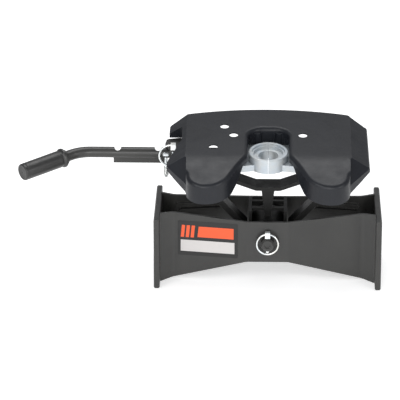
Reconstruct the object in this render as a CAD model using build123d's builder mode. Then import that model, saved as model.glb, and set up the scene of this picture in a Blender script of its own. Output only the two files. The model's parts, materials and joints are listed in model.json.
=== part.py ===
from build123d import *

import math
import os

# Fifth wheel hitch: a crossmember, a rolling yoke and a pitching head with two jaws.
# The frame is X to the right, Y towards the truck's cab and Z up. The origin is the
# centre of the crossmember's footprint, level with the bottom of its side plates.
# All sizes are in millimetres.

os.makedirs("parts", exist_ok=True)

# ---------------------------------------------------------------- crossmember
BASE_WIDTH = 580.0  # over the side plates, a 22 7/8 in rail spacing
BASE_HEIGHT = 187.0
BASE_DEPTH = 245.0
SIDE_PLATE = 15.0
CROSS_PLATE = 8.0
CROSS_END_Y = 77.0  # outer face of a cross plate at its welded ends
CROSS_BEND_X = 243.0
CROSS_BEND_Y = 64.0
CROSS_FLAT_X = 53.0
CROSS_FLAT_Y = 93.0
WAIST_TOP = 172.0
WAIST_BOTTOM = 63.0
LEG_HOLE_R = 8.75
LEG_SPACING_Y = 190.0
LEG_SPACING_Z = 100.0
LEG_CENTRE_Z = 92.0
RIBS = [(161.0, 120.0, 240.0), (145.0, 126.0, 232.0)]  # height, nearest and farthest X
RIB_HEIGHT = 10.0
RIB_PROUD = 11.0

# ---------------------------------------------------------------- roll pivot
PIVOT_Z = 118.0
PIN_R = 17.0
PIN_CLEARANCE = 0.05
SLEEVE_R = 30.0
BOSS_R = 46.0
BOSS_HALF = 54.0
PIN_REAR_Y = -118.0
PIN_FRONT_Y = 101.0
LINCH_Y = -106.0
LINCH_R = 4.25
LINCH_LOW = 94.4
RING_MAJOR = 27.1
RING_WIRE = 2.4
RING_BORE = 3.9  # the hole that the ring swings in
PIN_HEAD_R = 26.0
PIN_HEAD = 8.0
LINCH_HEAD = 13.0
LINCH_HEAD_HIGH = 16.0
LINCH_EYE = 9.0  # from the foot of the head to its hole

# ---------------------------------------------------------------- head pivot
TILT = 8.3  # degrees, rear edge down at rest
TRUNNION_Z = 280.0
TRUNNION_X = 185.0
TRUNNION_R = 12.5
TRUNNION_TO_DECK = 78.6
BUSHING_R = 20.0
LUG_R = 27.0
LUG_HALF = 8.0
CLEVIS_PLATE = 10.0
CLEVIS_GAP = 13.0  # half of the space between a clevis's two plates
TRUNNION_HEAD_R = 19.0
TRUNNION_HEAD = 7.0

# ---------------------------------------------------------------- yoke
SADDLE_Z = 243.0
SADDLE_FLAT_X = 31.0
SADDLE_RISE = 20.0
SADDLE_THICK = 9.0
SADDLE_HALF = 31.0
CHEEK_X = 45.0
CHEEK_THICK = 8.0
CHEEK_TOP = 186.0
ARM_FOOT = (58.0, 132.0)
ARM_HEAD = (166.0, 247.0)
ARM_THICK = 15.0
ARM_HALF = 25.0
CLEVIS_FLOOR = 236.0
BEARING_R = 26.0
STEM_HALF = 9.0
STEM_TOP_HALF = 17.0
STEM_FLARE_Z = 172.0
TIES_Y = [-20.0, 26.0]
TIE = (11.0, 8.0)  # depth and height
TIE_Z = 182.0

# ---------------------------------------------------------------- head casting
THROAT_HALF = 52.0
ARCH_U = 79.0
HORN_TIP_U = -181.0
WING_X = 258.0
WING_FRONT = (255.0, 137.0)
FRONT_CORNER = (195.0, 155.0)
HORN_FOOT = (207.0, -133.0)
HORN_INNER_X = 116.0
HORN_OUTER_X = 204.0
THROAT_END_U = -60.0
DECK_EDGE_U = 179.0
CREASE_X = 210.0
WING_DROP = 31.0
RAMP_U = -86.0
RAMP_SLOPE = 15.0
DECK_WALL = 13.0
SKIRT_WALL = 12.0
SKIRT_DEPTH = 78.0
SIGHT_HOLE_R = 11.5
SIGHT_HOLES = [(-113, 87), (-89, 42), (-140, -22), (88, 42)]
SIGHT_LIP = 3.0  # the deck's thickness round a sight hole
SIGHT_RELIEF = 34.0  # how far the thin place runs ahead of the hole
CUT_OUT = [(-270, 98), (-221.5, 98), (-221.5, 30), (-256, -46), (-270, -46)]
FRONT_LIP = -40.0
FRONT_RELIEF = [(260, -28), (128, -28), (104, -41), (104, -140), (260, -140)]  # u and w
RELIEF_HALF = 172.0  # the front skirt is shallower between the wings
THROAT_LIP = -22.0
SKIRT_FOOT = [(-75, -42), (-105, -58), (-135, -72), (-200, -80)]  # u and w
THROAT_FOOT = [(-82, THROAT_LIP), (-114, -58), (-135, -72)]
EDGE_ROUND = 11.0
CREASE_ROUND = 200.0
SKIRT_FACET = 47.0  # depth of the outer skirt's sloped shoulder beside a horn
SHOULDER_U = -73.0  # where a wing ends and that slope begins

# ---------------------------------------------------------------- jaws
KINGPIN_R = 25.65
SHOULDER_R = 38.0
RING_R = 51.0
JAW_TOP = -25.0
JAW_STEP = -45.0
JAW_BOTTOM = -63.0
SHOULDER_DEPTH = 12.0
JAW_PIVOT = (30.0, 84.0)
JAW_PIN_R = 8.0
JAW_SWING = 28.0
CAM_PIN = (66.0, 104.0)
CAM_PIN_R = 6.0
JAW_GAP = 0.3  # from the seam to each jaw
LIP_R = 42.5
LIP_DEPTH = 5.0
LOBE = [(JAW_GAP, 0), (36, -36), (88, -46), (90, 20), (80, 62), (76, 100), (66, 112), (44, 96)]
KEEPER_TOP = -75.5
KEEPER_THICK = 7.0
NUT_HEIGHT = 9.0

# ---------------------------------------------------------------- handle
HANDLE_TRAVEL = 100.0
TUBE_U = 60.0
TUBE_W = -64.0
TUBE_R = 14.0
TUBE_BORE = 10.5
TUBE_END_X = -98.0
BEND_X = -487.0
BEND_ANGLE = 38.7
BEND_R = 84.0
REACH = 178.0  # from the bend's corner to the end of the grip
GRIP_LENGTH = 128.0
GRIP_R = 22.0
CAM_BAR_TOP = -65.0
CAM_BAR_BOTTOM = -73.0
CAM_SLOT_R = CAM_PIN_R + 0.9
ARM_X = -110.0
ARM_WIDTH = 22.0
CAM_BAR_END = 165.0
CAM_BAR_U = (94.5, 129.0)
BOLT_R = 4.0
NOTCHES = [-388.0, -284.0]
NOTCH_R = 8.8
NOTCH_CENTRE = 13.0  # from the tube's axis
NOTCH_LEAN = 30.0  # degrees towards the cab from the tube's top
FLANGE_R = 25.0
FLANGE = 9.0
COLLAR_R = 19.0
COLLAR = 7.0
END_CAP = 6.0
FIN_X = -332.0
FIN = (134.0, 17.0, 6.0)  # length, height and thickness

# ---------------------------------------------------------------- handle guide, lock and latch
LOCK_X = -244.0
LOCK_U = 39.0
LOCK_RING_OFFSET = 9.0
BRACKET_TOP = -42.0
BRACKET_THICK = 5.0
EAR_X = -251.5
LATCH_X = -263.0
LATCH_U = 41.5
LATCH_TOP = -62.0
LATCH_LENGTH = 62.0
LATCH_R = 3.8
SPRING_R = 6.0
SPRING_LENGTH = 22.0
SPRING_FOOT = 8.0
NUT_FOOT = 2.0

# ---------------------------------------------------------------- label
LABEL_NEAR_X = 76.0
LABEL_WIDTH = 156.0
LABEL_LOW = 71.0
LABEL_HEIGHT = 94.0
LABEL_THICK = 0.6

tilt = math.radians(TILT)
deck_normal = Vector(0, -math.sin(tilt), math.cos(tilt))
deck_ahead = Vector(0, math.cos(tilt), math.sin(tilt))
deck_origin = Vector(0, 0, TRUNNION_Z) + deck_normal * TRUNNION_TO_DECK

# X and u lie in the deck, w is its normal. side_view draws u and w, end_view X and w.
deck = Plane(origin=deck_origin, x_dir=(1, 0, 0), z_dir=deck_normal)
side_view = Plane(origin=deck_origin, x_dir=deck_ahead, z_dir=(1, 0, 0))
end_view = Plane(origin=deck_origin, x_dir=(1, 0, 0), z_dir=-deck_ahead)


def save(piece, name):
    """Label a finished piece and write its STEP file."""
    piece.label = name
    export_step(piece, f"parts/{name}.step")


def both_sides(points):
    """A closed outline from its right half, listed from the middle outwards and round."""
    return points + [(-x, y) for x, y in reversed(points) if x != 0]


def corner(sketch, x, y):
    """The vertex of a sketch nearest to a point."""
    return sketch.vertices().sort_by_distance((x, y, 0))[0]


# ================================================================ crossmember
def cross_plate(facing):
    """A bent bow-tie plate. facing is -1 for the rear plate and 1 for the front one."""
    end_x = BASE_WIDTH / 2 - SIDE_PLATE
    path = [(CROSS_FLAT_X, CROSS_FLAT_Y), (CROSS_BEND_X, CROSS_BEND_Y), (end_x, CROSS_END_Y)]
    outer = [(-x, facing * y) for x, y in reversed(path)] + [(x, facing * y) for x, y in path]
    inner = [(x, y - facing * CROSS_PLATE) for x, y in reversed(outer)]
    waist = [(0, WAIST_BOTTOM), (CROSS_FLAT_X, WAIST_BOTTOM), (CROSS_BEND_X, 8), (end_x, 0)]
    shoulder_z = BASE_HEIGHT - 1
    crown = [(end_x, BASE_HEIGHT), (CROSS_BEND_X, shoulder_z), (CROSS_FLAT_X, WAIST_TOP), (0, WAIST_TOP)]
    with BuildPart() as plate:
        with BuildSketch(Plane.XY) as plan:
            with BuildLine():
                Polyline(*outer, *inner, close=True)
            make_face()
            bends = [corner(plan, s * CROSS_BEND_X, facing * CROSS_BEND_Y) for s in (-1, 1)]
            fillet(bends, radius=24)
            fold_y = facing * (CROSS_BEND_Y - CROSS_PLATE)
            folds = [corner(plan, s * CROSS_BEND_X, fold_y) for s in (-1, 1)]
            fillet(folds, radius=32)
            flats = [corner(plan, s * CROSS_FLAT_X, facing * CROSS_FLAT_Y) for s in (-1, 1)]
            fillet(flats, radius=30)
        extrude(amount=BASE_HEIGHT)
        with BuildSketch(Plane.XZ.offset(-150)) as face:
            with BuildLine():
                Polyline(*both_sides(waist + crown), close=True)
            make_face()
            soft = [corner(face, s * CROSS_FLAT_X, z) for s in (-1, 1) for z in (WAIST_TOP, WAIST_BOTTOM)]
            fillet(soft, radius=40)
        extrude(amount=300, mode=Mode.INTERSECT)
        for s in (-1, 1):
            along = Vector(s * (CROSS_BEND_X - CROSS_FLAT_X), -facing * (CROSS_FLAT_Y - CROSS_BEND_Y), 0)
            inward = Vector(0, 0, 1).cross(along) * (-s * facing)
            wall = Vector(s * CROSS_FLAT_X, facing * (CROSS_FLAT_Y - CROSS_PLATE + 1), 0)
            for z, near, far in RIBS:
                start = wall + along.normalized() * (near - CROSS_FLAT_X) + Vector(0, 0, z)
                with BuildSketch(Plane(origin=start, x_dir=along, z_dir=inward)):
                    with Locations(((far - near) / 2, 0)):
                        SlotOverall(far - near, RIB_HEIGHT)
                extrude(amount=RIB_PROUD + 1)
        with BuildSketch(Plane.XZ):
            with Locations((0, PIVOT_Z)):
                Circle(PIN_R + PIN_CLEARANCE)
        extrude(amount=150, both=True, mode=Mode.SUBTRACT)
    return plate.part


def side_plate(side):
    """An upright end plate with four holes for the leg bolts. side is -1 left, 1 right."""
    with BuildPart() as plate:
        with BuildSketch(Plane.YZ.offset(side * (BASE_WIDTH - SIDE_PLATE) / 2)):
            with Locations((0, BASE_HEIGHT / 2)):
                Rectangle(BASE_DEPTH, BASE_HEIGHT)
            with Locations((0, LEG_CENTRE_Z)):
                with GridLocations(LEG_SPACING_Y, LEG_SPACING_Z, 2, 2):
                    Circle(LEG_HOLE_R, mode=Mode.SUBTRACT)
        extrude(amount=SIDE_PLATE / 2, both=True)
        rim = plate.edges().filter_by(Axis.Y) + plate.edges().filter_by(Axis.Z)
        chamfer(rim.group_by(SortBy.LENGTH)[-1] + rim.group_by(SortBy.LENGTH)[-2], length=2.5)
    return plate.part


def pivot_sleeve(facing):
    """A weld boss between a cross plate and the yoke, bored for the roll pin."""
    start = facing * (BOSS_HALF + 1)
    length = CROSS_FLAT_Y - CROSS_PLATE - BOSS_HALF - 1
    with BuildPart() as sleeve:
        with BuildSketch(Plane.XZ.offset(-start)):
            with Locations((0, PIVOT_Z)):
                Circle(SLEEVE_R)
                Circle(PIN_R + PIN_CLEARANCE, mode=Mode.SUBTRACT)
        extrude(amount=-facing * length)
    return sleeve.part


def roll_pin():
    """The round pin that the yoke rolls on, headed at the front and cross-drilled at the rear."""
    with BuildPart() as pin:
        with BuildSketch(Plane.XZ.offset(-PIN_REAR_Y)):
            with Locations((0, PIVOT_Z)):
                Circle(PIN_R)
        extrude(amount=PIN_REAR_Y - PIN_FRONT_Y)
        chamfer(pin.faces().sort_by(Axis.Y)[0].edges(), length=4)
        with BuildSketch(Plane.XZ.offset(-CROSS_FLAT_Y)):
            with Locations((0, PIVOT_Z)):
                Circle(PIN_HEAD_R)
        extrude(amount=-PIN_HEAD)
        chamfer(pin.faces().sort_by(Axis.Y)[-1].edges(), length=1.5)
        with BuildSketch(Plane.XZ.offset(-PIN_REAR_Y)):
            with Locations((0, PIVOT_Z)):
                RegularPolygon(9, 6)
        extrude(amount=-3, mode=Mode.SUBTRACT)
        with Locations((0, LINCH_Y, PIVOT_Z)):
            Cylinder(LINCH_R + PIN_CLEARANCE, 60, mode=Mode.SUBTRACT)
    return pin.part


def linch_pin(plane, reach, ring_offset=0.0):
    """A linch pin: a shank down the plane's normal from a square head drilled for the ring."""
    with BuildPart() as pin:
        with BuildSketch(plane):
            Circle(LINCH_R)
        extrude(amount=-reach)
        chamfer(pin.faces().sort_by(Axis.Z)[0].edges(), length=1.2)
        with BuildSketch(plane):
            Rectangle(LINCH_HEAD, LINCH_HEAD)
        extrude(amount=LINCH_HEAD_HIGH)
        chamfer(pin.edges().group_by(Axis.Z)[-1], length=1.2)
        bore = ring_eye(plane, ring_offset) * Rot(0, 90, 0) * Cylinder(RING_BORE, 40, mode=Mode.PRIVATE)
        add(bore, mode=Mode.SUBTRACT)
    return pin.part


def ring_eye(plane, ring_offset=0.0):
    """The frame at the middle of a linch pin's eye, with X along the ring's wire there."""
    lean = math.degrees(math.asin(ring_offset / RING_MAJOR))
    return plane * Pos(0, 0, LINCH_EYE) * Rot(0, lean, 0)


def linch_ring(plane, ring_offset=0.0, swing=0.0):
    """The spring wire ring of a linch pin, hanging from the eye and swung back by an angle."""
    circle = ring_eye(plane, ring_offset) * Rot(-swing, 0, 0) * Pos(0, 0, -RING_MAJOR) * Rot(90, 0, 0)
    with BuildPart() as ring:
        add(circle * Torus(RING_MAJOR, RING_WIRE, mode=Mode.PRIVATE))
    return ring.part


# ================================================================ yoke
def yoke():
    """The cast yoke: pivot boss, stem, saddle, two diagonal arms and a clevis at each end."""
    inner_x = TRUNNION_X - CLEVIS_GAP
    saddle_end_z = SADDLE_Z + (inner_x - SADDLE_FLAT_X) * math.tan(math.radians(SADDLE_RISE))
    top = [(SADDLE_FLAT_X, SADDLE_Z), (inner_x, saddle_end_z)]
    under = [(x, z - SADDLE_THICK) for x, z in reversed(top)]
    saddle_foot = SADDLE_Z - SADDLE_THICK
    stem = [(STEM_HALF, PIVOT_Z), (STEM_HALF, STEM_FLARE_Z), (STEM_TOP_HALF, SADDLE_Z - 5)]
    with BuildPart() as casting:
        with BuildSketch(Plane.XZ):
            with Locations((0, PIVOT_Z)):
                Circle(BOSS_R)
        extrude(amount=BOSS_HALF, both=True)
        with BuildSketch(Plane.XZ) as saddle:
            with BuildLine():
                Polyline(*both_sides([(0, SADDLE_Z), *top, *under, (0, saddle_foot)]), close=True)
            make_face()
            bends = [corner(saddle, s * SADDLE_FLAT_X, SADDLE_Z) for s in (-1, 1)]
            fillet(bends, radius=14)
            folds = [corner(saddle, s * SADDLE_FLAT_X, SADDLE_Z - SADDLE_THICK) for s in (-1, 1)]
            fillet(folds, radius=23)
        extrude(amount=SADDLE_HALF, both=True)
        with BuildSketch(Plane.XZ):
            with BuildLine():
                Polyline(*both_sides(stem), close=True)
            make_face()
        extrude(amount=SADDLE_HALF - 2, both=True)
        for s in (-1, 1):
            with BuildSketch(Plane.XZ):
                with Locations((s * CHEEK_X, (PIVOT_Z + CHEEK_TOP) / 2)):
                    Rectangle(CHEEK_THICK, CHEEK_TOP - PIVOT_Z)
            extrude(amount=BOSS_HALF - 4, both=True)
            for y in TIES_Y:
                with Locations((s * CHEEK_X / 2, y, TIE_Z)):
                    Box(CHEEK_X, *TIE)
            foot = Vector(s * ARM_FOOT[0], ARM_FOOT[1])
            head = Vector(s * ARM_HEAD[0], ARM_HEAD[1])
            with BuildSketch(Plane.XZ):
                with BuildLine():
                    Line(foot, head)
                trace(line_width=ARM_THICK)
            extrude(amount=ARM_HALF, both=True)
            with BuildSketch(Plane.XZ):
                with Locations((s * TRUNNION_X, CLEVIS_FLOOR + 6)):
                    Rectangle(2 * (CLEVIS_GAP + CLEVIS_PLATE), 12)
            extrude(amount=LUG_R - 3, both=True)
            for side in (-1, 1):
                x = s * TRUNNION_X + side * (CLEVIS_GAP + CLEVIS_PLATE / 2)
                with BuildSketch(Plane.YZ.offset(x)):
                    with Locations((0, TRUNNION_Z)):
                        Circle(LUG_R - 3)
                    with Locations((0, (CLEVIS_FLOOR + TRUNNION_Z) / 2)):
                        Rectangle(2 * (LUG_R - 3), TRUNNION_Z - CLEVIS_FLOOR)
                extrude(amount=CLEVIS_PLATE / 2, both=True)
        with BuildSketch(Plane.XZ):
            with Locations((0, PIVOT_Z)):
                Circle(BEARING_R)
        extrude(amount=BOSS_HALF + 1, both=True, mode=Mode.SUBTRACT)
        with BuildSketch(Plane.YZ):
            with Locations((0, TRUNNION_Z)):
                Circle(TRUNNION_R)
        extrude(amount=TRUNNION_X + 40, both=True, mode=Mode.SUBTRACT)
    return casting.part


def bearing():
    """The bearing sleeve pressed into the yoke's boss, which turns on the roll pin."""
    with BuildPart() as sleeve:
        with BuildSketch(Plane.XZ):
            with Locations((0, PIVOT_Z)):
                Circle(BEARING_R)
                Circle(PIN_R + PIN_CLEARANCE, mode=Mode.SUBTRACT)
        extrude(amount=BOSS_HALF, both=True)
    return sleeve.part


def trunnion_pin(side):
    """A headed pin fixed in a clevis. side is -1 left, 1 right."""
    inner = TRUNNION_X - CLEVIS_GAP - CLEVIS_PLATE
    outer = TRUNNION_X + CLEVIS_GAP + CLEVIS_PLATE
    with BuildPart() as pin:
        with BuildSketch(Plane.YZ.offset(side * inner)):
            with Locations((0, TRUNNION_Z)):
                Circle(TRUNNION_R)
        extrude(amount=side * (outer - inner))
        with BuildSketch(Plane.YZ.offset(side * outer)):
            with Locations((0, TRUNNION_Z)):
                Circle(TRUNNION_HEAD_R)
        extrude(amount=side * TRUNNION_HEAD)
        chamfer(pin.edges().sort_by(Axis.X)[-1 if side > 0 else 0], length=1.5)
    return pin.part


def torsion_bushing(side):
    """The rubber ring pressed into the head's lug, round the trunnion pin."""
    with BuildPart() as ring:
        with BuildSketch(Plane.YZ.offset(side * TRUNNION_X)):
            with Locations((0, TRUNNION_Z)):
                Circle(BUSHING_R)
                Circle(TRUNNION_R + PIN_CLEARANCE, mode=Mode.SUBTRACT)
        extrude(amount=LUG_HALF, both=True)
    return ring.part


# ================================================================ head casting
def head_outline(inset):
    """The head's plan in deck coordinates, pulled in by inset all round."""
    half = [(0, ARCH_U), (THROAT_HALF, ARCH_U), (THROAT_HALF, THROAT_END_U), (HORN_INNER_X, HORN_TIP_U)]
    half += [(HORN_OUTER_X, HORN_TIP_U), HORN_FOOT, (WING_X, SHOULDER_U), WING_FRONT, FRONT_CORNER]
    radii = [40, 36, 70, 44, 18, 8, 8, 30]
    x, u = FRONT_CORNER
    with BuildSketch() as plan:
        with BuildLine():
            Polyline(*[(-x, u) for x, u in reversed(half)], *half[1:])
            ThreePointArc((x, u), (0, DECK_EDGE_U), (-x, u))
        make_face()
        for (x, u), radius in zip(half[1:], radii):
            fillet([corner(plan, s * x, u) for s in (-1, 1)], radius=radius)
        with BuildLine():
            Polyline(*CUT_OUT, close=True)
        make_face(mode=Mode.SUBTRACT)
        fillet([corner(plan, *CUT_OUT[1]), corner(plan, *CUT_OUT[2])], radius=6)
        if inset:
            offset(amount=-inset, mode=Mode.REPLACE)
    return plan.sketch


def head_block(inset, drop, foot):
    """The solid under the head's top surfaces, from depth foot up to drop below the deck."""
    ramp = math.tan(math.radians(RAMP_SLOPE))
    wing = WING_DROP / (WING_X - CREASE_X)
    end = RAMP_U - 120
    with BuildPart() as block:
        with BuildSketch(deck.offset(-foot)):
            add(head_outline(inset))
        extrude(amount=foot - drop)
        with BuildSketch(side_view):
            with BuildLine():
                Polyline((RAMP_U, -drop), (RAMP_U, 60), (end, 60), (end, -drop - 120 * ramp), close=True)
            make_face()
        extrude(amount=400, both=True, mode=Mode.SUBTRACT)
        with BuildSketch(end_view):
            for s in (-1, 1):
                start = s * CREASE_X
                end = s * (CREASE_X + 70)
                with BuildLine():
                    Polyline((start, -drop), (start, 60), (end, 60), (end, -drop - 70 * wing), close=True)
                make_face()
        extrude(amount=400, both=True, mode=Mode.SUBTRACT)
    return block.part


def shoulder(side, inset, drop):
    """What is cut away so that a wing's near end slopes down beside the horn to the skirt."""
    inner = side * (HORN_FOOT[0] - inset)
    outer = side * 300
    crease = deck.from_local_coords(Vector(side * CREASE_X, SHOULDER_U, -drop))
    tip = deck.from_local_coords(Vector(side * WING_X, SHOULDER_U, -drop - WING_DROP))
    foot = deck.from_local_coords(Vector(side * HORN_FOOT[0], HORN_FOOT[1], -drop - SKIRT_FACET))
    slope = Plane(origin=crease, x_dir=tip - crease, z_dir=(tip - crease).cross(foot - crease) * -side)
    with BuildPart() as bite:
        with BuildSketch(deck.offset(60)):
            with BuildLine():
                Polyline((inner, SHOULDER_U), (inner, -200), (outer, -200), (outer, SHOULDER_U), close=True)
            make_face()
        extrude(amount=-260)
        split(bisect_by=slope, keep=Keep.TOP)
    return bite.part


def is_ramp_crease(edge):
    """Whether an edge of the head is where the deck turns down into a ramp."""
    middle = deck.to_local_coords(edge.center(CenterOf.MASS))
    across = abs(edge.tangent_at(0.5).X) > 0.99
    return across and abs(middle.Y - RAMP_U) < 1 and abs(middle.Z) < 1


def is_rim(edge):
    """Whether an edge of the head is a top edge of the throat or of a horn."""
    middle = deck.to_local_coords(edge.center(CenterOf.MASS))
    upright = abs(edge.tangent_at(0.5).dot(deck_normal)) > 0.95
    throat = abs(middle.X) < 130 and middle.Y < 100
    horn = middle.Y < -76
    return not upright and middle.Z > -45 and (throat or horn)


def head():
    """The cast head: a hollow deck with wings, ramped horns, a throat and two trunnion lugs."""
    with BuildPart() as casting:
        add(head_block(0, 0, SKIRT_DEPTH))
        fillet(casting.edges().filter_by(is_ramp_crease), radius=CREASE_ROUND)
        walls = [f for f in casting.faces() if abs(f.normal_at().dot(deck_normal)) < 0.05]
        rim = {e for f in walls for e in f.edges() if is_rim(e)}
        fillet(rim, radius=EDGE_ROUND)
        hollow = head_block(SKIRT_WALL, DECK_WALL, SKIRT_DEPTH + 5)
        for s in (-1, 1):
            add(shoulder(s, 0, 0), mode=Mode.SUBTRACT)
            hollow -= shoulder(s, SKIRT_WALL, DECK_WALL)
        add(hollow, mode=Mode.SUBTRACT)
        with BuildSketch(side_view):
            with BuildLine():
                Polyline((260, FRONT_LIP), *SKIRT_FOOT, (-200, -140), (260, -140), close=True)
            make_face()
        extrude(amount=400, both=True, mode=Mode.SUBTRACT)
        with BuildSketch(side_view):
            with BuildLine():
                Polyline(*FRONT_RELIEF, close=True)
            make_face()
        extrude(amount=RELIEF_HALF, both=True, mode=Mode.SUBTRACT)
        with BuildSketch(side_view):
            with BuildLine():
                Polyline((66, THROAT_LIP), *THROAT_FOOT, (66, -72), close=True)
            make_face()
        extrude(amount=135, both=True, mode=Mode.SUBTRACT)
        for s in (-1, 1):
            with BuildSketch(side_view.offset(s * TRUNNION_X)):
                with Locations((0, -TRUNNION_TO_DECK)):
                    Circle(LUG_R - 1)
                with Locations((0, -(TRUNNION_TO_DECK + DECK_WALL) / 2)):
                    Rectangle(2 * LUG_R - 2, TRUNNION_TO_DECK - DECK_WALL + 2)
            extrude(amount=LUG_HALF, both=True)
            with BuildSketch(deck.offset(-DECK_WALL + 1)):
                with Locations((s * JAW_PIVOT[0], JAW_PIVOT[1])):
                    Circle(15)
            extrude(amount=JAW_STEP + 0.5 + DECK_WALL - 1)
        with BuildSketch(side_view):
            with Locations((0, -TRUNNION_TO_DECK)):
                Circle(BUSHING_R)
        extrude(amount=260, both=True, mode=Mode.SUBTRACT)
        with BuildSketch(deck.offset(5)):
            with Locations(*SIGHT_HOLES):
                Circle(SIGHT_HOLE_R)
        extrude(amount=-60, mode=Mode.SUBTRACT)
        with BuildSketch(deck.offset(-SIGHT_LIP)):
            with Locations(*[(x, u + (SIGHT_RELIEF - SIGHT_HOLE_R) / 2) for x, u in SIGHT_HOLES]):
                Rectangle(2 * SIGHT_HOLE_R + 4, SIGHT_RELIEF + SIGHT_HOLE_R + 4)
        extrude(amount=-DECK_WALL, mode=Mode.SUBTRACT)
        with BuildSketch(deck.offset(-DECK_WALL - 5)):
            with Locations(*[(s * JAW_PIVOT[0], JAW_PIVOT[1]) for s in (-1, 1)]):
                Circle(JAW_PIN_R)
        extrude(amount=-60, mode=Mode.SUBTRACT)
    return casting.part


# ================================================================ jaws
def mirrored(points, side):
    """Points drawn for the right-hand piece, turned over for the left when side is -1."""
    return [(side * x, u) for x, u in points]


def jaw(side):
    """One jaw: half of the stepped ring, with a wing under the deck and a pivot and cam lobe."""
    half = [(JAW_GAP, -60), (60, -60), (60, 60), (JAW_GAP, 60)]
    with BuildPart() as piece:
        with BuildSketch(deck.offset(JAW_BOTTOM)) as plan:
            Circle(RING_R)
            with BuildLine():
                Polyline(*mirrored(half, side), close=True)
            make_face(mode=Mode.INTERSECT)
            with BuildLine():
                Polyline(*mirrored(LOBE + [(JAW_GAP, 72)], side), close=True)
            make_face()
            for x, u, radius in ((88, -46, 8), (76, 100, 9), (66, 112, 5)):
                fillet(corner(plan, side * x, u), radius=radius)
            with Locations((side * JAW_PIVOT[0], JAW_PIVOT[1])):
                Circle(16)
        extrude(amount=JAW_STEP - JAW_BOTTOM)
        with BuildSketch(deck.offset(JAW_STEP)):
            Circle(RING_R)
            with BuildLine():
                Polyline(*mirrored(half, side), close=True)
            make_face(mode=Mode.INTERSECT)
        extrude(amount=JAW_TOP - JAW_STEP)
        crown = piece.faces().filter_by(lambda f: f.normal_at().dot(deck_normal) > 0.99)
        outside = crown.sort_by(lambda f: deck.to_local_coords(f.center()).Z)[-1]
        arc = outside.edges().filter_by(GeomType.CIRCLE)
        fillet(arc, radius=3)
        steps = [(KINGPIN_R, -90), (SHOULDER_R, JAW_TOP - SHOULDER_DEPTH), (LIP_R, JAW_TOP - LIP_DEPTH)]
        for radius, foot in steps:
            with BuildSketch(deck.offset(foot)):
                Circle(radius)
            extrude(amount=-foot, mode=Mode.SUBTRACT)
        with BuildSketch(deck.offset(JAW_BOTTOM - 5)):
            with Locations((side * JAW_PIVOT[0], JAW_PIVOT[1])):
                Circle(JAW_PIN_R + PIN_CLEARANCE)
            with Locations((side * CAM_PIN[0], CAM_PIN[1])):
                Circle(CAM_PIN_R)
        extrude(amount=60, mode=Mode.SUBTRACT)
    return piece.part


def stud(x, u, radius, top, foot):
    """A round pin square to the deck, between two depths."""
    with BuildPart() as pin:
        with BuildSketch(deck.offset(foot)):
            with Locations((x, u)):
                Circle(radius)
        extrude(amount=top - foot)
        chamfer(pin.edges().filter_by(GeomType.CIRCLE), length=0.8)
    return pin.part


def keeper_plate():
    """The plate under the cam bar that ties the two jaw pivot pins together."""
    with BuildPart() as plate:
        with BuildSketch(deck.offset(KEEPER_TOP - KEEPER_THICK)):
            with Locations((0, 98)):
                RectangleRounded(112, 56, 12)
            with Locations(*[(s * JAW_PIVOT[0], JAW_PIVOT[1]) for s in (-1, 1)]):
                Circle(JAW_PIN_R, mode=Mode.SUBTRACT)
        extrude(amount=KEEPER_THICK)
    return plate.part


def pivot_nuts():
    """The two nuts under the keeper plate."""
    with BuildPart() as nuts:
        with BuildSketch(deck.offset(KEEPER_TOP - KEEPER_THICK - NUT_HEIGHT)):
            with Locations(*[(s * JAW_PIVOT[0], JAW_PIVOT[1]) for s in (-1, 1)]):
                RegularPolygon(14, 6)
                Circle(JAW_PIN_R, mode=Mode.SUBTRACT)
        extrude(amount=NUT_HEIGHT)
    return nuts.part


# ================================================================ handle
def cam_point(side, share):
    """Where a jaw's cam pin stands on the cam bar when the handle is drawn by a share of its travel."""
    angle = math.radians(JAW_SWING * share)
    dx = CAM_PIN[0] - JAW_PIVOT[0]
    du = CAM_PIN[1] - JAW_PIVOT[1]
    x = JAW_PIVOT[0] + dx * math.cos(angle) - du * math.sin(angle)
    u = JAW_PIVOT[1] + dx * math.sin(angle) + du * math.cos(angle)
    return (side * x + HANDLE_TRAVEL * share, u)


def cam_bar():
    """The sliding bar under the jaws, with one slanted slot for each jaw's cam pin."""
    left = ARM_X - ARM_WIDTH / 2
    right = ARM_X + ARM_WIDTH / 2
    near, far = CAM_BAR_U
    with BuildPart() as bar:
        with BuildSketch(deck.offset(CAM_BAR_BOTTOM)) as plan:
            with BuildLine():
                arm = [(left, TUBE_U - 6), (right, TUBE_U - 6), (right, near)]
                Polyline(*arm, (CAM_BAR_END, near), (CAM_BAR_END, far), (left, far), close=True)
            make_face()
            rounds = [(CAM_BAR_END, far), (CAM_BAR_END, near), (left, far)]
            fillet([corner(plan, *point) for point in rounds], radius=10)
            for side in (-1, 1):
                track = [cam_point(side, share / 4) for share in range(5)]
                with Locations(*track):
                    Circle(CAM_SLOT_R, mode=Mode.SUBTRACT)
                with BuildLine():
                    Spline(*track)
                trace(line_width=2 * CAM_SLOT_R, mode=Mode.SUBTRACT)
            with Locations((ARM_X, TUBE_U)):
                Circle(BOLT_R, mode=Mode.SUBTRACT)
        extrude(amount=CAM_BAR_TOP - CAM_BAR_BOTTOM)
    return bar.part


def along_grip(distance):
    """The plane across the grip's axis at a distance from the bend's corner."""
    angle = math.radians(BEND_ANGLE)
    direction = deck.x_dir * -math.cos(angle) + deck_ahead * -math.sin(angle)
    level = deck.offset(TUBE_W)
    start = level.from_local_coords(Vector(BEND_X, TUBE_U, 0)) + direction * distance
    return Plane(origin=start, z_dir=direction, x_dir=deck_normal)


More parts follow.
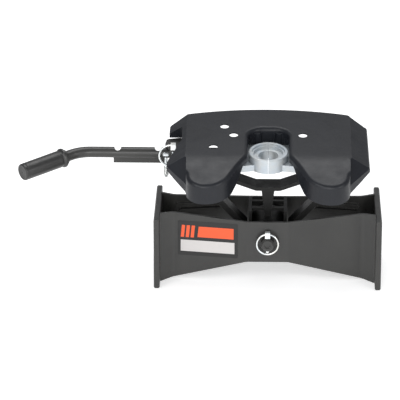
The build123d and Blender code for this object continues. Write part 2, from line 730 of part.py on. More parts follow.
def tube_line(end_distance):
    """The wire that the tube follows, as far as a distance past the bend's corner."""
    angle = math.radians(BEND_ANGLE)
    end = (BEND_X - end_distance * math.cos(angle), TUBE_U - end_distance * math.sin(angle))
    with BuildLine(deck.offset(TUBE_W)) as line:
        FilletPolyline((TUBE_END_X, TUBE_U), (BEND_X, TUBE_U), end, radius=BEND_R)
    return line.wires()[0]


def handle_tube():
    """The bent steel tube, with two half-round notches on top and a slot for the cam bar."""
    path = tube_line(REACH - END_CAP)
    lean = math.radians(NOTCH_LEAN)
    along_notch = deck_normal * math.sin(lean) - deck_ahead * math.cos(lean)
    across = Plane(origin=path @ 0, z_dir=path % 0, x_dir=along_notch)
    tube_axis = deck.from_local_coords(Vector(0, TUBE_U, TUBE_W))
    with BuildPart() as tube:
        with BuildSketch(across):
            Circle(TUBE_R)
            Circle(TUBE_BORE, mode=Mode.SUBTRACT)
        sweep(path=path)
        with BuildSketch(Plane(origin=tube_axis, x_dir=(1, 0, 0), z_dir=along_notch)):
            with Locations(*[(x, NOTCH_CENTRE) for x in NOTCHES]):
                Circle(NOTCH_R)
        extrude(amount=2 * TUBE_R, both=True, mode=Mode.SUBTRACT)
        with BuildSketch(deck.offset(CAM_BAR_BOTTOM)):
            with Locations((ARM_X + 20, TUBE_U)):
                Rectangle(40 + ARM_WIDTH, 40)
        extrude(amount=CAM_BAR_TOP - CAM_BAR_BOTTOM, mode=Mode.SUBTRACT)
        with BuildSketch(deck.offset(TUBE_W)):
            with Locations((ARM_X, TUBE_U)):
                Circle(BOLT_R)
        extrude(amount=30, both=True, mode=Mode.SUBTRACT)
    return tube.part


def cam_bolt():
    """The bolt that holds the cam bar in the slotted end of the tube."""
    with BuildPart() as bolt:
        with BuildSketch(deck.offset(TUBE_W - TUBE_R)):
            with Locations((ARM_X, TUBE_U)):
                Circle(BOLT_R)
        extrude(amount=2 * TUBE_R)
        with BuildSketch(deck.offset(TUBE_W + TUBE_R)):
            with Locations((ARM_X, TUBE_U)):
                RegularPolygon(7, 6)
        extrude(amount=5)
    return bolt.part


def handle_fin():
    """The flat strip welded along the underside of the tube."""
    tube_start = deck.offset(TUBE_W).from_local_coords(Vector(BEND_X, TUBE_U, 0))
    with BuildPart() as fin:
        with BuildSketch(end_view.offset(-TUBE_U)):
            with Locations((FIN_X, TUBE_W - TUBE_R + 2 - FIN[1] / 2)):
                Rectangle(FIN[0], FIN[1])
        extrude(amount=FIN[2] / 2, both=True)
        with BuildSketch(Plane(origin=tube_start, x_dir=deck_ahead, z_dir=(1, 0, 0))):
            Circle(TUBE_R)
        extrude(amount=300, mode=Mode.SUBTRACT)
    return fin.part


def grip():
    """The rubber grip: a rounded sleeve with a flange at its inner end, closed at its outer end."""
    start = REACH - GRIP_LENGTH
    with BuildPart() as sleeve:
        with BuildSketch(along_grip(start)):
            Circle(GRIP_R)
        extrude(amount=GRIP_LENGTH)
        fillet(sleeve.edges().sort_by(Axis.X)[0], radius=END_CAP)
        with BuildSketch(along_grip(start)):
            Circle(FLANGE_R)
        extrude(amount=FLANGE)
        with BuildSketch(along_grip(start)):
            Circle(TUBE_R)
        extrude(amount=GRIP_LENGTH - END_CAP, mode=Mode.SUBTRACT)
    return sleeve.part


def grip_collar():
    """The small collar on the tube against the grip's flange."""
    with BuildPart() as collar:
        with BuildSketch(along_grip(REACH - GRIP_LENGTH - COLLAR)):
            Circle(COLLAR_R)
            Circle(TUBE_R, mode=Mode.SUBTRACT)
        extrude(amount=COLLAR)
        fillet(collar.edges().sort_by(Axis.X)[-3:], radius=1.5)
    return collar.part


# ================================================================ handle bracket


def handle_bracket():
    """The guide under the left wing: a top plate with a tongue, and an upright with the tube's hole."""
    with BuildPart() as bracket:
        with BuildSketch(deck.offset(BRACKET_TOP - BRACKET_THICK)) as plan:
            with BuildLine():
                Polyline((-226, 46), (-226, 100), (-262, 92), (-266, 66), (-258, 46), close=True)
            make_face()
            fillet([corner(plan, -262, 92), corner(plan, -266, 66)], radius=10)
            with Locations((LOCK_X, LOCK_U)):
                Circle(7)
            with Locations((LOCK_X, 44)):
                Rectangle(14, 10)
            with Locations((LOCK_X, LOCK_U)):
                Circle(LINCH_R + PIN_CLEARANCE, mode=Mode.SUBTRACT)
        extrude(amount=BRACKET_THICK)
        with BuildSketch(deck.offset(BRACKET_TOP)):
            with Locations((-214, 93)):
                Rectangle(40, 10)
        extrude(amount=-BRACKET_THICK)
        with BuildSketch(side_view.offset(EAR_X)) as upright:
            with Locations((TUBE_U + 2, BRACKET_TOP - 24)):
                Rectangle(42, 46)
            fillet(upright.vertices().group_by(Axis.Y)[0], radius=14)
            with Locations((TUBE_U, TUBE_W)):
                Circle(TUBE_R + 0.3, mode=Mode.SUBTRACT)
            with Locations((TUBE_U, TUBE_W - TUBE_R - 6)):
                Rectangle(9, 18, mode=Mode.SUBTRACT)
        extrude(amount=2.5, both=True)
        with BuildSketch(deck.offset(LATCH_TOP - 4)):
            with Locations((LATCH_X + 2.5, LATCH_U - 0.5)):
                Rectangle(18, 9)
            with Locations((LATCH_X, LATCH_U)):
                Circle(LATCH_R, mode=Mode.SUBTRACT)
        extrude(amount=4)
    return bracket.part


latch_top = deck.from_local_coords(Vector(LATCH_X, LATCH_U, LATCH_TOP))
latch_hang = Plane(origin=latch_top, z_dir=deck_normal, x_dir=(1, 0, 0))


def latch_bolt():
    """The long bolt that hangs from the bracket's ear beside the tube."""
    with BuildPart() as bolt:
        with BuildSketch(latch_hang):
            Circle(LATCH_R)
        extrude(amount=-LATCH_LENGTH)
        with BuildSketch(latch_hang):
            SlotOverall(17, 9)
        extrude(amount=6)
        chamfer(bolt.edges().group_by(Axis.Z)[-1], length=1)
    return bolt.part


def latch_spring():
    """The coil spring on the bolt's lower half, as one sleeve of its outer size."""
    with BuildPart() as spring:
        with BuildSketch(latch_hang.offset(-LATCH_LENGTH + SPRING_FOOT)):
            Circle(SPRING_R)
            Circle(LATCH_R, mode=Mode.SUBTRACT)
        extrude(amount=SPRING_LENGTH)
    return spring.part


def latch_nut():
    """The nut that holds the spring on the bolt."""
    with BuildPart() as nut:
        with BuildSketch(latch_hang.offset(-LATCH_LENGTH + NUT_FOOT)):
            RegularPolygon(6.8, 6)
            Circle(LATCH_R, mode=Mode.SUBTRACT)
        extrude(amount=6)
    return nut.part


# ================================================================ label


def data_label():
    """The stuck-on panel on the left half of the rear cross plate's outer face."""
    along = Vector(-(CROSS_BEND_X - CROSS_FLAT_X), CROSS_FLAT_Y - CROSS_BEND_Y, 0).normalized()
    outward = Vector(0, 0, 1).cross(along)
    start = Vector(-CROSS_FLAT_X, -CROSS_FLAT_Y, 0) + along * (LABEL_NEAR_X - CROSS_FLAT_X)
    middle = start + along * (LABEL_WIDTH / 2) + Vector(0, 0, LABEL_LOW + LABEL_HEIGHT / 2)
    with BuildPart() as label:
        with BuildSketch(Plane(origin=middle, x_dir=along, z_dir=outward)):
            RectangleRounded(LABEL_WIDTH, LABEL_HEIGHT, 2)
        extrude(amount=LABEL_THICK)
    return label.part


# ================================================================ assembly
save(cross_plate(-1), "rear_cross_plate")
save(cross_plate(1), "front_cross_plate")
save(pivot_sleeve(-1), "rear_pivot_sleeve")
save(pivot_sleeve(1), "front_pivot_sleeve")
save(roll_pin(), "roll_pivot_pin")
save(data_label(), "data_label")

pin_head = Plane(origin=(0, LINCH_Y, PIVOT_Z + PIN_R + 0.1), x_dir=(1, 0, 0), z_dir=(0, 0, 1))
save(linch_pin(pin_head, pin_head.origin.Z - LINCH_LOW), "pivot_linch_pin")
save(linch_ring(pin_head), "pivot_linch_ring")

save(yoke(), "yoke_casting")
save(bearing(), "yoke_bearing")

save(head(), "head_casting")
save(keeper_plate(), "jaw_keeper_plate")
save(pivot_nuts(), "jaw_pivot_nuts")
save(handle_bracket(), "handle_bracket")
save(latch_bolt(), "latch_bolt")
save(latch_spring(), "latch_spring")
save(latch_nut(), "latch_nut")

lock_top = deck.from_local_coords(Vector(LOCK_X, LOCK_U, BRACKET_TOP + 0.1))
lock_seat = Plane(origin=lock_top, x_dir=(1, 0, 0), z_dir=deck_normal)
save(linch_pin(lock_seat, 52, LOCK_RING_OFFSET), "handle_lock_pin")
save(linch_ring(lock_seat, LOCK_RING_OFFSET, TILT + 1.5), "handle_lock_ring")

for side, name in ((-1, "left"), (1, "right")):
    save(side_plate(side), f"{name}_side_plate")
    save(trunnion_pin(side), f"{name}_trunnion_pin")
    save(torsion_bushing(side), f"{name}_torsion_bushing")
    save(jaw(side), f"{name}_jaw")
    x, u = JAW_PIVOT
    pivot_foot = KEEPER_TOP - KEEPER_THICK - NUT_HEIGHT - 3
    save(stud(side * x, u, JAW_PIN_R, -DECK_WALL - 5, pivot_foot), f"{name}_jaw_pivot_pin")
    x, u = CAM_PIN
    save(stud(side * x, u, CAM_PIN_R, JAW_STEP, CAM_BAR_BOTTOM - 1), f"{name}_cam_pin")

save(cam_bar(), "cam_bar")
save(cam_bolt(), "cam_bar_bolt")
save(handle_tube(), "handle_tube")
save(handle_fin(), "handle_fin")
save(grip(), "handle_grip")
save(grip_collar(), "grip_collar")
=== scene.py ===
"""The looks of the fifth wheel hitch: materials, small pieces, light, floor and camera."""

import json
import math

import bmesh
import bpy
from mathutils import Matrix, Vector


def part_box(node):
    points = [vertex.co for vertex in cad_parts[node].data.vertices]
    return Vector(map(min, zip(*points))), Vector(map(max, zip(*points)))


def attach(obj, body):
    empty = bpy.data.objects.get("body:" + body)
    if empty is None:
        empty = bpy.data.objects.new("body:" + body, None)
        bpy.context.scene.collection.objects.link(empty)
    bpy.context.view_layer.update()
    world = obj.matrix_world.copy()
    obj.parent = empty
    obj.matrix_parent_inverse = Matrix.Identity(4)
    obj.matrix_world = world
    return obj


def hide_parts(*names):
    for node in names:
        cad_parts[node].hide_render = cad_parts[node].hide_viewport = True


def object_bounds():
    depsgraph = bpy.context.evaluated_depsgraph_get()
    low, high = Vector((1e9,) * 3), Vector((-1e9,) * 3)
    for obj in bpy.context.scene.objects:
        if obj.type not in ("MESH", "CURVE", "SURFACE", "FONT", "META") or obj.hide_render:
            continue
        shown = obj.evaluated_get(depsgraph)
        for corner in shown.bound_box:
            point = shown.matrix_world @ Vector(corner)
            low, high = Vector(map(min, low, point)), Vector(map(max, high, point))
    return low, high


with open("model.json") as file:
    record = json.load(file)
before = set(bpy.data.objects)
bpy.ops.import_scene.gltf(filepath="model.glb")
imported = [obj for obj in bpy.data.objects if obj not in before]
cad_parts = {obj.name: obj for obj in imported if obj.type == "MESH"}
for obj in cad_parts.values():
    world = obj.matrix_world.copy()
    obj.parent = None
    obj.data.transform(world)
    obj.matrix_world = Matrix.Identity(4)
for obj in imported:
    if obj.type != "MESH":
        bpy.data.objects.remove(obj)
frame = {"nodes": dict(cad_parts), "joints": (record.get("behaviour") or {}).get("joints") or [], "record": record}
cad_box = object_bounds()
nodes = frame["nodes"]
joints = {joint["name"]: joint for joint in frame["joints"]}
MM = 0.001

# The lock pin beside the handle lifts along the deck's normal. Ahead is along the deck, towards
# the cab.
deck_normal = Vector(joints["handle_lock_lift"]["axis"]).normalized()
deck_ahead = deck_normal.cross(Vector((1, 0, 0))).normalized()


# ---------------------------------------------------------------- camera
CAMERA_DISTANCE = 7.6  # metres from the hitch's middle
CAMERA_ELEVATION = 21.7  # degrees
CAMERA_LENS = 266.0  # millimetres
CAMERA_SENSOR = 36.0  # millimetres
CAMERA_REACH = 50.0  # metres that it sees
FRAME_CENTRE_X = -0.1746  # the X that it is turned to
TARGET_Z = 0.196  # the height that it looks at


def make_camera():
    """A long lens behind the hitch, a little above it, turned slightly towards the handle."""
    data = bpy.data.cameras.new("camera")
    data.lens = CAMERA_LENS
    data.sensor_width = CAMERA_SENSOR
    data.clip_end = CAMERA_REACH
    camera = bpy.data.objects.new("camera", data)
    rise = math.radians(CAMERA_ELEVATION)
    away = Vector((0, -math.cos(rise), math.sin(rise)))
    camera.location = away * CAMERA_DISTANCE + Vector((0, 0, TARGET_Z))
    turn = math.atan2(-FRAME_CENTRE_X, CAMERA_DISTANCE * math.cos(rise))
    camera.rotation_euler = (math.radians(90) - rise, 0, turn)
    bpy.context.scene.collection.objects.link(camera)
    bpy.context.scene.camera = camera


# ---------------------------------------------------------------- material tools
# Cosines between the flat and the rounded normal, where a lighter edge begins and where it is full:
# rubbed wear on the powder coat, a painted highlight on the zinc, rubber and steel.
EDGE_BEGINS = 0.995
EDGE_FULL = 0.9
EDGE_RAYS = 6


class Shader:
    """A small helper that adds nodes to one material and links them."""

    def __init__(self, name):
        self.material = bpy.data.materials.new(name)
        self.material.use_nodes = True
        self.tree = self.material.node_tree
        self.bsdf = self.tree.nodes["Principled BSDF"]
        self.place = self.add("ShaderNodeTexCoord").outputs["Object"]

    def add(self, kind, **settings):
        """Adds a node and sets its properties."""
        node = self.tree.nodes.new(kind)
        for key, value in settings.items():
            setattr(node, key, value)
        return node

    def link(self, source, target):
        """Links an output to an input."""
        self.tree.links.new(source, target)

    def set(self, **values):
        """Sets sockets of the main shader, with underscores for spaces in their names."""
        for key, value in values.items():
            self.bsdf.inputs[key.replace("_", " ")].default_value = value

    def noise(self, scale, detail, roughness=0.55, stretch=None):
        """Noise around 0.5 in the object's space, finer as the scale rises."""
        node = self.add("ShaderNodeTexNoise")
        node.inputs["Scale"].default_value = scale
        node.inputs["Detail"].default_value = detail
        node.inputs["Roughness"].default_value = roughness
        place = self.place
        if stretch:
            mapping = self.add("ShaderNodeMapping")
            mapping.inputs["Scale"].default_value = stretch
            self.link(place, mapping.inputs["Vector"])
            place = mapping.outputs["Vector"]
        self.link(place, node.inputs["Vector"])
        return node.outputs["Fac"]

    def voronoi(self, scale):
        """Distance to the nearest of many scattered points."""
        node = self.add("ShaderNodeTexVoronoi")
        node.inputs["Scale"].default_value = scale
        self.link(self.place, node.inputs["Vector"])
        return node.outputs["Distance"]

    def remap(self, value, between, onto=(0, 1)):
        """A value carried from one range onto another, and held at its ends."""
        node = self.add("ShaderNodeMapRange")
        sockets = ("From Min", "From Max", "To Min", "To Max")
        for name, number in zip(sockets, (*between, *onto)):
            node.inputs[name].default_value = number
        self.link(value, node.inputs["Value"])
        return node.outputs["Result"]

    def clouds(self, scale, detail, between, onto=(0, 1)):
        """Noise whose middle range is carried onto another range."""
        return self.remap(self.noise(scale, detail), between, onto)

    def math(self, operation, a, b):
        """An operation on two values, each a number or another node's output."""
        node = self.add("ShaderNodeMath", operation=operation)
        for socket, value in zip(node.inputs, (a, b)):
            if isinstance(value, (int, float)):
                socket.default_value = value
            else:
                self.link(value, socket)
        return node.outputs["Value"]

    def mix(self, share, first, second):
        """A colour between two, each a colour or another node's output."""
        node = self.add("ShaderNodeMix", data_type="RGBA")
        self.link(share, node.inputs["Factor"])
        for name, value in (("A", first), ("B", second)):
            socket = next(s for s in node.inputs if s.name == name and s.type == "RGBA")
            if isinstance(value, tuple):
                socket.default_value = (*value, 1)
            else:
                self.link(value, socket)
        return next(s for s in node.outputs if s.type == "RGBA")

    def edges(self, radius):
        """0 on flat surfaces, rising to 1 on edges and corners."""
        bevel = self.add("ShaderNodeBevel", samples=EDGE_RAYS)
        bevel.inputs["Radius"].default_value = radius
        flat = self.add("ShaderNodeNewGeometry").outputs["Normal"]
        dot = self.add("ShaderNodeVectorMath", operation="DOT_PRODUCT")
        self.link(bevel.outputs["Normal"], dot.inputs[0])
        self.link(flat, dot.inputs[1])
        return self.remap(dot.outputs["Value"], (EDGE_BEGINS, EDGE_FULL))

    def bump(self, height, strength, distance, below=None):
        """A normal that follows a height, laid over another normal if there is one."""
        node = self.add("ShaderNodeBump")
        node.inputs["Strength"].default_value = strength
        node.inputs["Distance"].default_value = distance
        self.link(height, node.inputs["Height"])
        if below:
            self.link(below, node.inputs["Normal"])
        return node.outputs["Normal"]

    def finish(self, colour, roughness, normal):
        """Links the three to the main shader, and gives the finished material."""
        self.link(colour, self.bsdf.inputs["Base Color"])
        self.link(roughness, self.bsdf.inputs["Roughness"])
        self.link(normal, self.bsdf.inputs["Normal"])
        return self.material


def shade(colour, factor, most=1.0):
    """A colour made lighter or darker, with no channel above the most."""
    return tuple(min(most, factor * channel) for channel in colour)


def tinted(colour, tint):
    """A colour with each channel scaled by the tint's."""
    return tuple(channel * share for channel, share in zip(colour, tint))


# ---------------------------------------------------------------- kinds of finish
PEEL_SCALE = 520  # the orange peel of sprayed paint
ZINC_BLUE = (0.95, 1.0, 1.03)
ZINC_STRAW = (1.02, 1.0, 0.95)
# The most that the painted highlight on zinc edges may reach.
ZINC_EDGE_HIGHLIGHT_MOST = 0.93


def powder_coat(name, dark, light, worn, gloss, shine, casting=False):
    """Satin powder coat: orange peel, faint clouding, dust and lighter rubbed edges."""
    shader = Shader(name)
    cloud = shader.clouds(scale=9, detail=4, between=(0.35, 0.65))
    fleck = shader.clouds(scale=420, detail=2, between=(0.62, 0.8), onto=(0, 0.5))
    edge = shader.edges(radius=0.0016)
    patches = shader.clouds(scale=60, detail=5, between=(0.42, 0.62), onto=(0.15, 1))
    scuff = shader.math("MULTIPLY", edge, patches)
    colour = shader.mix(cloud, dark, light)
    colour = shader.mix(fleck, colour, shade(light, 1.7))
    colour = shader.mix(scuff, colour, worn)
    spread = (gloss - 0.05, gloss + 0.07)
    rough = shader.clouds(scale=35, detail=4, between=(0.3, 0.7), onto=spread)
    rough = shader.math("SUBTRACT", rough, shader.math("MULTIPLY", scuff, 0.08))
    normal = shader.bump(shader.noise(PEEL_SCALE, 2), strength=0.22, distance=0.0004)
    if casting:
        sand = shader.noise(scale=150, detail=5, roughness=0.6)
        normal = shader.bump(sand, strength=0.3, distance=0.0009, below=normal)
        waves = shader.noise(scale=22, detail=2)
        normal = shader.bump(waves, strength=0.2, distance=0.003, below=normal)
    else:
        waves = shader.noise(scale=30, detail=2)
        normal = shader.bump(waves, strength=0.1, distance=0.0015, below=normal)
    shader.set(Specular_IOR_Level=shine)
    return shader.finish(colour, rough, normal)


def zinc_plate(name, tone, rough, metal, grain=0.15, cast=0.25):
    """Clear zinc on forged steel: bright, a little cloudy, with faint blue and straw tints, and a painted
    highlight along its edges.
    """
    shader = Shader(name)
    tint = shader.clouds(scale=28, detail=3, between=(0.38, 0.62))
    spangle = shader.remap(shader.voronoi(scale=330), (0, 0.9), (0, 0.35))
    # Painted highlight: every edge is lightened evenly, as if it caught the light.
    edge = shader.math("MULTIPLY", shader.edges(radius=0.001), 0.5)
    colour = shader.mix(tint, tinted(tone, ZINC_BLUE), tinted(tone, ZINC_STRAW))
    colour = shader.mix(spangle, colour, shade(tone, 0.8))
    colour = shader.mix(edge, colour, shade(tone, 1.25, most=ZINC_EDGE_HIGHLIGHT_MOST))
    spread = (rough - 0.07, rough + 0.1)
    roughness = shader.clouds(scale=75, detail=4, between=(0.3, 0.7), onto=spread)
    pits = shader.noise(scale=240, detail=4, roughness=0.6)
    normal = shader.bump(pits, strength=cast, distance=0.0004)
    lines = shader.noise(scale=90, detail=2, stretch=(1, 1, 14))
    normal = shader.bump(lines, strength=grain, distance=0.0002, below=normal)
    shader.set(Metallic=metal)
    return shader.finish(colour, roughness, normal)


def oiled_steel(name):
    """Dark machined steel with fine turning marks, a smear of oil and a painted highlight on its edges."""
    shader = Shader(name)
    smear = shader.clouds(scale=40, detail=4, between=(0.4, 0.65))
    colour = shader.mix(smear, (0.16, 0.16, 0.165), (0.07, 0.065, 0.06))
    # Painted highlight: the edges are lightened evenly, as if they caught the light.
    colour = shader.mix(shader.edges(radius=0.001), colour, (0.42, 0.42, 0.43))
    roughness = shader.remap(smear, (0, 1), (0.42, 0.26))
    marks = shader.noise(scale=60, detail=2, stretch=(18, 1, 1))
    normal = shader.bump(marks, strength=0.25, distance=0.0002)
    shader.set(Metallic=0.9)
    return shader.finish(colour, roughness, normal)


def moulded_rubber(name, base):
    """Moulded rubber: matt, finely pitted, with paler dust in the texture and a painted highlight along its edges.
    """
    shader = Shader(name)
    dust = shader.clouds(scale=26, detail=5, between=(0.45, 0.75), onto=(0, 0.55))
    colour = shader.mix(dust, base, shade(base, 2.1))
    # Painted highlight: the edges are lightened evenly, as if they caught the light.
    edge = shader.math("MULTIPLY", shader.edges(radius=0.0012), 0.4)
    colour = shader.mix(edge, colour, shade(base, 3.0))
    roughness = shader.clouds(scale=55, detail=3, between=(0.3, 0.7), onto=(0.33, 0.46))
    normal = shader.bump(shader.noise(scale=900, detail=2), strength=0.3, distance=0.0003)
    waves = shader.noise(scale=45, detail=3)
    normal = shader.bump(waves, strength=0.12, distance=0.001, below=normal)
    return shader.finish(colour, roughness, normal)


def printed_vinyl(name, base, rough=0.38):
    """A printed film: even ink with a slight unevenness and tiny pits from the paint below."""
    shader = Shader(name)
    wear = shader.clouds(scale=70, detail=5, between=(0.55, 0.8), onto=(0, 0.25))
    colour = shader.mix(wear, base, shade(base, 0.82))
    spread = (rough - 0.05, rough + 0.08)
    roughness = shader.clouds(scale=40, detail=3, between=(0.3, 0.7), onto=spread)
    normal = shader.bump(shader.noise(PEEL_SCALE, 2), strength=0.08, distance=0.0003)
    return shader.finish(colour, roughness, normal)


def pale_floor(name):
    """A plain pale studio floor, with a little light of its own."""
    shader = Shader(name)
    cloud = shader.noise(scale=2, detail=2)
    colour = shader.mix(cloud, (0.88, 0.88, 0.88), (0.92, 0.92, 0.92))
    shader.set(Emission_Color=(1, 1, 1, 1), Emission_Strength=0.5)
    roughness = shader.clouds(scale=5, detail=2, between=(0, 1), onto=(0.55, 0.65))
    normal = shader.bump(shader.noise(scale=60, detail=2), strength=0.02, distance=0.0005)
    return shader.finish(colour, roughness, normal)


# ---------------------------------------------------------------- mesh tools
def new_piece(name, bm, material, body, smooth=True):
    """Turns a bmesh into a piece that rides on a body."""
    mesh = bpy.data.meshes.new(name)
    bmesh.ops.recalc_face_normals(bm, faces=bm.faces)
    for face in bm.faces:
        face.smooth = smooth
    bm.to_mesh(mesh)
    bm.free()
    mesh.materials.append(material)
    piece = bpy.data.objects.new(name, mesh)
    bpy.context.scene.collection.objects.link(piece)
    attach(piece, body)
    return piece


def circle(bm, centre, side, other, radius, count):
    """A ring of vertices about a point, in the plane of two directions."""
    ring = []
    for step in range(count):
        angle = 2 * math.pi * step / count
        out = side * math.cos(angle) + other * math.sin(angle)
        ring.append(bm.verts.new(centre + out * radius))
    return ring


def skin(bm, rings):
    """Faces between each ring of vertices and the next."""
    count = len(rings[0])
    for near, far in zip(rings, rings[1:]):
        for step in range(count):
            following = (step + 1) % count
            bm.faces.new((near[step], near[following], far[following], far[step]))


def turned(profile, origin, axis, steps):
    """A closed turned shape: profile is a list of (distance along the axis, radius)."""
    bm = bmesh.new()
    side = axis.orthogonal().normalized()
    other = axis.cross(side).normalized()
    rings = [
        circle(bm, origin + axis * along, side, other, radius, steps) for along, radius in profile
    ]
    skin(bm, rings + rings[:1])
    return bm


SIDE_SHARE = 0.45  # the most of a side that one corner's curve may take


def rounded(corners, radius, steps):
    """A profile with a curve at each corner that reaches about the radius along both sides."""
    points = []
    count = len(corners)
    for index, corner in enumerate(corners):
        here = Vector((*corner, 0))
        before = Vector((*corners[index - 1], 0)) - here
        after = Vector((*corners[(index + 1) % count], 0)) - here
        reach = min(radius, SIDE_SHARE * before.length, SIDE_SHARE * after.length)
        start = here + before.normalized() * reach
        end = here + after.normalized() * reach
        for step in range(steps + 1):
            t = step / steps
            point = start * (1 - t) ** 2 + here * 2 * t * (1 - t) + end * t ** 2
            points.append((point.x, point.y))
    return points


def round_axis(node, direction):
    """The foot of a round CAD node's axis, and its length along the direction."""
    side = direction.orthogonal().normalized()
    other = direction.cross(side).normalized()
    vertices = [vertex.co for vertex in nodes[node].data.vertices]
    foot = Vector()
    for axis in (side, other):
        spread = [vertex.dot(axis) for vertex in vertices]
        foot += axis * (min(spread) + max(spread)) / 2
    along = [vertex.dot(direction) for vertex in vertices]
    return foot + direction * min(along), max(along) - min(along)


def frame_body(node):
    """The body that a CAD node belongs to."""
    for body, members in frame["record"]["behaviour"]["bodies"].items():
        if node in members:
            return body
    raise ValueError(node)


# ---------------------------------------------------------------- materials
# Each of the record's material slots and the finish that its pieces take.
finishes = {
    "black_coat": powder_coat(
        "black_coat",
        dark=(0.0165, 0.0165, 0.0155),
        light=(0.023, 0.0228, 0.021),
        worn=(0.07, 0.069, 0.065),
        gloss=0.36,
        shine=0.55,
    ),
    # A darker, bluer copy of the black coat for the head: painted cool reflection and shade of its up-facing
    # surfaces.
    "head_coat": powder_coat(
        "head_coat",
        dark=(0.0075, 0.0085, 0.0115),
        light=(0.0105, 0.0118, 0.0155),
        worn=(0.06, 0.063, 0.07),
        gloss=0.38,
        shine=0.3,
        casting=True,
    ),
    # A darker copy of the black coat for the yoke: painted shade from the deck above it.
    "yoke_coat": powder_coat(
        "yoke_coat",
        dark=(0.007, 0.007, 0.0068),
        light=(0.010, 0.010, 0.0096),
        worn=(0.05, 0.05, 0.048),
        gloss=0.44,
        shine=0.22,
        casting=True,
    ),
    "zinc": zinc_plate("zinc", (0.50, 0.53, 0.56), rough=0.36, metal=0.5),
    "bright_zinc": zinc_plate(
        "bright_zinc", (0.82, 0.83, 0.83), rough=0.26, metal=0.8, grain=0.1, cast=0.1
    ),
    "oiled_steel": oiled_steel("oiled_steel"),
    "grip_rubber": moulded_rubber("grip_rubber", (0.016, 0.016, 0.0155)),
    "bushing_rubber": moulded_rubber("bushing_rubber", (0.02, 0.02, 0.021)),
    "label": printed_vinyl("label", (0.006, 0.0058, 0.0058), rough=0.36),
}
label_orange = printed_vinyl("label_orange", (0.72, 0.085, 0.018))
label_white = printed_vinyl("label_white", (0.52, 0.50, 0.49))

for subpart in frame["record"]["subparts"]:
    slots = nodes[subpart["node"]].data.materials
    slots.clear()
    slots.append(finishes[subpart["material_slot"]])


# ---------------------------------------------------------------- grip
GRIP_ANGLE = 38.7  # degrees of the handle's bend, towards the trailer
GRIP_BORE = 14.05  # millimetres, as are the numbers below
# The outline of the grip as (distance, radius). The flange and the neck count from its open end,
# the groove from its own middle, and the cap and the bore's floor from its closed end.
GRIP_FLANGE = ((0, 24.2), (2, 25), (6, 25), (8.5, 23.4))
GRIP_NECK = ((11, 21.2), (13, 21.2), (17, 22))
GRIP_GROOVE = ((-1.2, 21.9), (0, 21.1), (1.2, 21.9))
GRIP_CAP = ((-1.8, 21.7), (-0.1, 19.6), (0, 17), (-0.8, 15.5), (-0.9, 0))
GRIP_FLOOR = ((-6, 0), (-6, GRIP_BORE))
GROOVE_FROM_END = 9  # from the closed end to the groove's middle
GRIP_ROUND = 2.5
WELD = 0.00002  # metres; the vertices at the cap's centre are one


def make_grip():
    """The moulded grip: flange and neck, a straight sleeve, a groove and a rounded closed end."""
    bend = math.radians(GRIP_ANGLE)
    axis = Vector((-math.cos(bend), 0, 0)) - deck_ahead * math.sin(bend)
    foot, length = round_axis("handle_grip", axis)
    outline = [(0, GRIP_BORE * MM)]
    for start, corners in (
        (0, GRIP_FLANGE + GRIP_NECK),
        (length - GROOVE_FROM_END * MM, GRIP_GROOVE),
        (length, GRIP_CAP + GRIP_FLOOR),
    ):
        outline += [(start + along * MM, radius * MM) for along, radius in corners]
    bm = turned(rounded(outline, GRIP_ROUND * MM, steps=4), foot, axis, steps=96)
    bmesh.ops.remove_doubles(bm, verts=bm.verts, dist=WELD)
    grip = new_piece("grip_sleeve", bm, finishes["grip_rubber"], "handle")
    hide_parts("handle_grip")


# ---------------------------------------------------------------- spring
SPRING_TURNS = 8.5
SPRING_R = 6.0 * MM  # over the wire
WIRE_R = 0.85 * MM
STEPS_PER_TURN = 36
WIRE_CORNERS = 10
CLOSE_ENDS = 0.25  # by what share the coils lie closer at both ends


def make_spring():
    """The compression spring on the latch bolt: a round wire helix, closer at its ends."""
    foot, length = round_axis("latch_spring", deck_normal)
    side = Vector((1, 0, 0))
    other = deck_normal.cross(side).normalized()
    coil_r = SPRING_R - WIRE_R
    climb = length - 2 * WIRE_R
    steps = int(SPRING_TURNS * STEPS_PER_TURN)
    points = []
    for step in range(steps + 1):
        share = step / steps
        eased = 0.5 - 0.5 * math.cos(math.pi * share)
        rise = WIRE_R + climb * eased * CLOSE_ENDS
        rise += climb * share * (1 - CLOSE_ENDS)
        angle = 2 * math.pi * SPRING_TURNS * share
        out = side * math.cos(angle) + other * math.sin(angle)
        points.append(foot + deck_normal * rise + out * coil_r)
    bm = bmesh.new()
    rings = []
    for index, point in enumerate(points):
        ahead = (points[min(index + 1, steps)] - points[max(index - 1, 0)]).normalized()
        out = (point - foot - deck_normal * (point - foot).dot(deck_normal)).normalized()
        up = ahead.cross(out).normalized()
        rings.append(circle(bm, point, out, up, WIRE_R, WIRE_CORNERS))
    skin(bm, rings)
    bm.faces.new(rings[0])
    bm.faces.new(rings[-1])
    spring = new_piece("latch_coil_spring", bm, finishes["bright_zinc"], "head")
    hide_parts("latch_spring")


# ---------------------------------------------------------------- label print
INK = 0.06 * MM  # thickness of the print
PRINT_GAP = 0.01 * MM  # between the panel and the print
# The layout, in shares of the panel's width from its left and of its height.
STRIPES = 3
STRIPE_LEFT, STRIPE_PITCH = 0.05, 0.082
STRIPE_WIDTH, STRIPE_SLANT = 0.055, 0.02
STRIPE_LOW, STRIPE_HIGH = 0.53, 0.88
BAR = ((0.33, 0.55), (0.93, 0.55), (0.93, 0.86), (0.35, 0.86))
STRIP = ((0.05, 0.12), (0.945, 0.12), (0.945, 0.45), (0.05, 0.45))


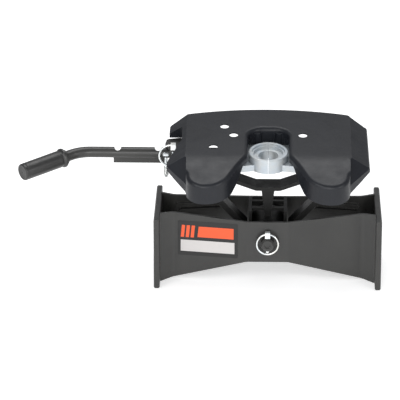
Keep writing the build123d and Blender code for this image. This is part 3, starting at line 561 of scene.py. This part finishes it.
def make_label_print():
    """Plain printed shapes on the label panel: slanted stripes, a bar and a blank strip."""
    low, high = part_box("data_label")
    along = Vector((low.x - high.x, high.y - low.y, 0)).normalized()
    outward = Vector((0, 0, 1)).cross(along)
    vertices = [vertex.co for vertex in nodes["data_label"].data.vertices]
    face = max(vertex.dot(outward) for vertex in vertices)
    spread = [vertex.dot(along) for vertex in vertices]
    start, width = min(spread), max(spread) - min(spread)
    height = high.z - low.z

    def printed(name, shapes, material):
        """Thin prisms, each from the corners of its shape in shares of the panel."""
        bm = bmesh.new()
        for shape in shapes:
            backs = []
            fronts = []
            for across, up in shape:
                # The panel is read from behind, where its left end is the far one.
                place = along * (start + width * (1 - across))
                place += Vector((0, 0, low.z + height * up))
                backs.append(bm.verts.new(place + outward * (face + PRINT_GAP)))
                fronts.append(bm.verts.new(place + outward * (face + PRINT_GAP + INK)))
            bm.faces.new(backs)
            bm.faces.new(fronts)
            skin(bm, [backs, fronts])
        new_piece(name, bm, material, "crossmember", smooth=False)

    stripes = []
    for index in range(STRIPES):
        left = STRIPE_LEFT + STRIPE_PITCH * index
        right = left + STRIPE_WIDTH
        foot = [(left, STRIPE_LOW), (right, STRIPE_LOW)]
        top = [(right + STRIPE_SLANT, STRIPE_HIGH), (left + STRIPE_SLANT, STRIPE_HIGH)]
        stripes.append(foot + top)
    printed("label_stripes", stripes, label_orange)
    printed("label_bar", [BAR], label_orange)
    printed("label_strip", [STRIP], label_white)


# ---------------------------------------------------------------- bushings
# The outside as (share of the length, millimetres below the full radius).
BUSHING_OUTSIDE = ((0, 0.8), (0.2, 0), (0.42, 0), (0.5, 0.9), (0.58, 0), (0.8, 0), (1, 0.8))
BUSHING_ROUND = 1.2 * MM


def make_bushings():
    """The torsion bushings: turned rubber rings with tapered ends and a shallow groove."""
    for side in ("left", "right"):
        node = side + "_torsion_bushing"
        axis = Vector((1, 0, 0))
        foot, length = round_axis(node, axis)
        vertices = [vertex.co for vertex in nodes[node].data.vertices]
        radii = [(vertex - foot - axis * (vertex - foot).dot(axis)).length for vertex in vertices]
        inner, outer = min(radii), max(radii)
        outline = [(0, inner)]
        outline += [(share * length, outer - drop * MM) for share, drop in BUSHING_OUTSIDE]
        outline += [(length, inner)]
        bm = turned(rounded(outline, BUSHING_ROUND, steps=3), foot, axis, steps=72)
        rubber = finishes["bushing_rubber"]
        piece = new_piece(side + "_bushing_ring", bm, rubber, frame_body(node))
        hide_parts(node)


# ---------------------------------------------------------------- studio
FLOOR_HALF = 9.0
FLOOR_GAP = 0.0002  # between the floor and the hitch
SURROUND = (0.97, 0.98, 1.0, 1)
SURROUND_STRENGTH = 0.42
# Each soft light: its name (front is the camera's side), place, aim, size in metres and watts.
LIGHTS = (
    ("overhead", (-0.1, 1.05, 3.0), (0, 0, 0.3), 1.8, 38),
    ("front_left", (-2.6, -3.2, 2.4), (0, 0, 0.15), 2.0, 62),
    ("front_right", (2.8, -2.8, 1.6), (0, 0, 0.15), 1.6, 40),
    ("front_low", (-0.3, -3.6, 1.15), (0, 0, 0.15), 1.5, 46),
)


def add_light(name, place, aim, size, power):
    """One square area light aimed at a point."""
    data = bpy.data.lights.new(name, "AREA")
    data.size = size
    data.energy = power
    light = bpy.data.objects.new(name, data)
    light.location = place
    light.rotation_euler = (Vector(aim) - Vector(place)).to_track_quat("-Z", "Y").to_euler()
    bpy.context.scene.collection.objects.link(light)


def make_studio():
    """A pale floor, a near-white surround and large soft lights."""
    bm = bmesh.new()
    size = FLOOR_HALF
    corners = ((-size, -size), (size, -size), (size, size), (-size, size))
    bm.faces.new([bm.verts.new((x, y, 0)) for x, y in corners])
    mesh = bpy.data.meshes.new("floor")
    bm.to_mesh(mesh)
    bm.free()
    mesh.materials.append(pale_floor("floor"))
    floor = bpy.data.objects.new("floor", mesh)
    floor.location.z = cad_box[0][2] - FLOOR_GAP
    bpy.context.scene.collection.objects.link(floor)

    world = bpy.data.worlds.new("studio")
    bpy.context.scene.world = world
    world.use_nodes = True
    background = world.node_tree.nodes["Background"]
    background.inputs["Color"].default_value = SURROUND
    background.inputs["Strength"].default_value = SURROUND_STRENGTH
    for light in LIGHTS:
        add_light(*light)
    bpy.context.scene.view_settings.view_transform = "Standard"


make_camera()
make_grip()
make_spring()
make_label_print()
make_bushings()
make_studio()
